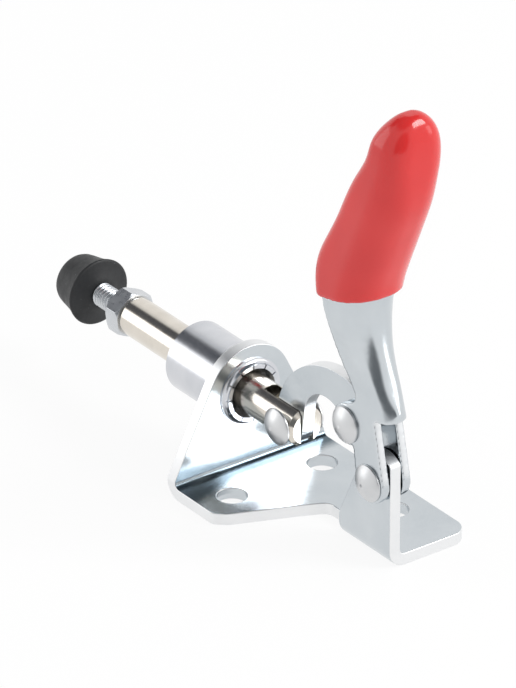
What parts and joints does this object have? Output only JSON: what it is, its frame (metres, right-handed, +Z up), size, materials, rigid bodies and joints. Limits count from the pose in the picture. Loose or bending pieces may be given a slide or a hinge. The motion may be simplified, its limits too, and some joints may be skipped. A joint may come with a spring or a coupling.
{
  "type": "push-pull toggle clamp",
  "caption": "Small straight-line toggle clamp: folded steel base, guided plunger with a rubber-tipped adjusting screw, C-shaped link and a lever with a dipped plastic grip.",
  "frame": {"origin": "on the underside of the foot, in the plunger's centre plane, midway between the two front mounting holes", "axes": "+X forward along the plunger to the rubber tip, +Y to the left, +Z up from the mounting face"},
  "size_m": [0.0885, 0.0288, 0.0784],
  "materials": {
    "zinc_steel": "zinc plated, satin, with bright cut edges",
    "zinc_barrel": "turned and zinc plated, smooth",
    "nickel_steel": "ground and nickel plated, glossy",
    "rivet_steel": "zinc plated, satin",
    "screw_steel": "zinc plated, bright",
    "red_grip": "dipped soft plastic, glossy",
    "black_rubber": "moulded, matte"
  },
  "bodies": {
    "base": {"base_bracket": "zinc_steel", "guide_barrel": "zinc_barrel"},
    "handle": {"handle_channel": "zinc_steel", "grip": "red_grip", "pivot_rivet": "rivet_steel", "link_rivet": "rivet_steel"},
    "plunger": {"plunger": "nickel_steel", "plunger_rivet": "rivet_steel"},
    "link": {"link": "zinc_steel"},
    "spindle": {"spindle": "screw_steel", "rubber_tip": "black_rubber"},
    "lock_nut": {"lock_nut": "screw_steel"}
  },
  "joints": [
    {"name": "handle_swing", "type": "hinge", "parent": "base", "child": "handle", "pos_m": [-0.0267, 0, 0.0144], "axis": [0, 1, 0], "range_deg": [-66.5, 54]},
    {"name": "plunger_slide", "type": "slide", "parent": "base", "child": "plunger", "axis": [1, 0, 0], "range_m": [-0.0089, 0.0073]},
    {"name": "link_swing", "type": "hinge", "parent": "plunger", "child": "link", "pos_m": [-0.0045, 0, 0.0144], "axis": [0, 1, 0], "range_deg": [-17.5, 21.5]},
    {"name": "spindle_adjust", "type": "slide", "parent": "plunger", "child": "spindle", "axis": [1, 0, 0], "range_m": [-0.003, 0.004]},
    {"name": "nut_adjust", "type": "slide", "parent": "plunger", "child": "lock_nut", "axis": [1, 0, 0], "range_m": [0, 0.002]}
  ],
  "couplings": [
    {"joint": "plunger_slide", "follows": "handle_swing", "m_per_rad": 0.0076488},
    {"joint": "link_swing", "follows": "handle_swing", "ratio": -0.32}
  ]
}
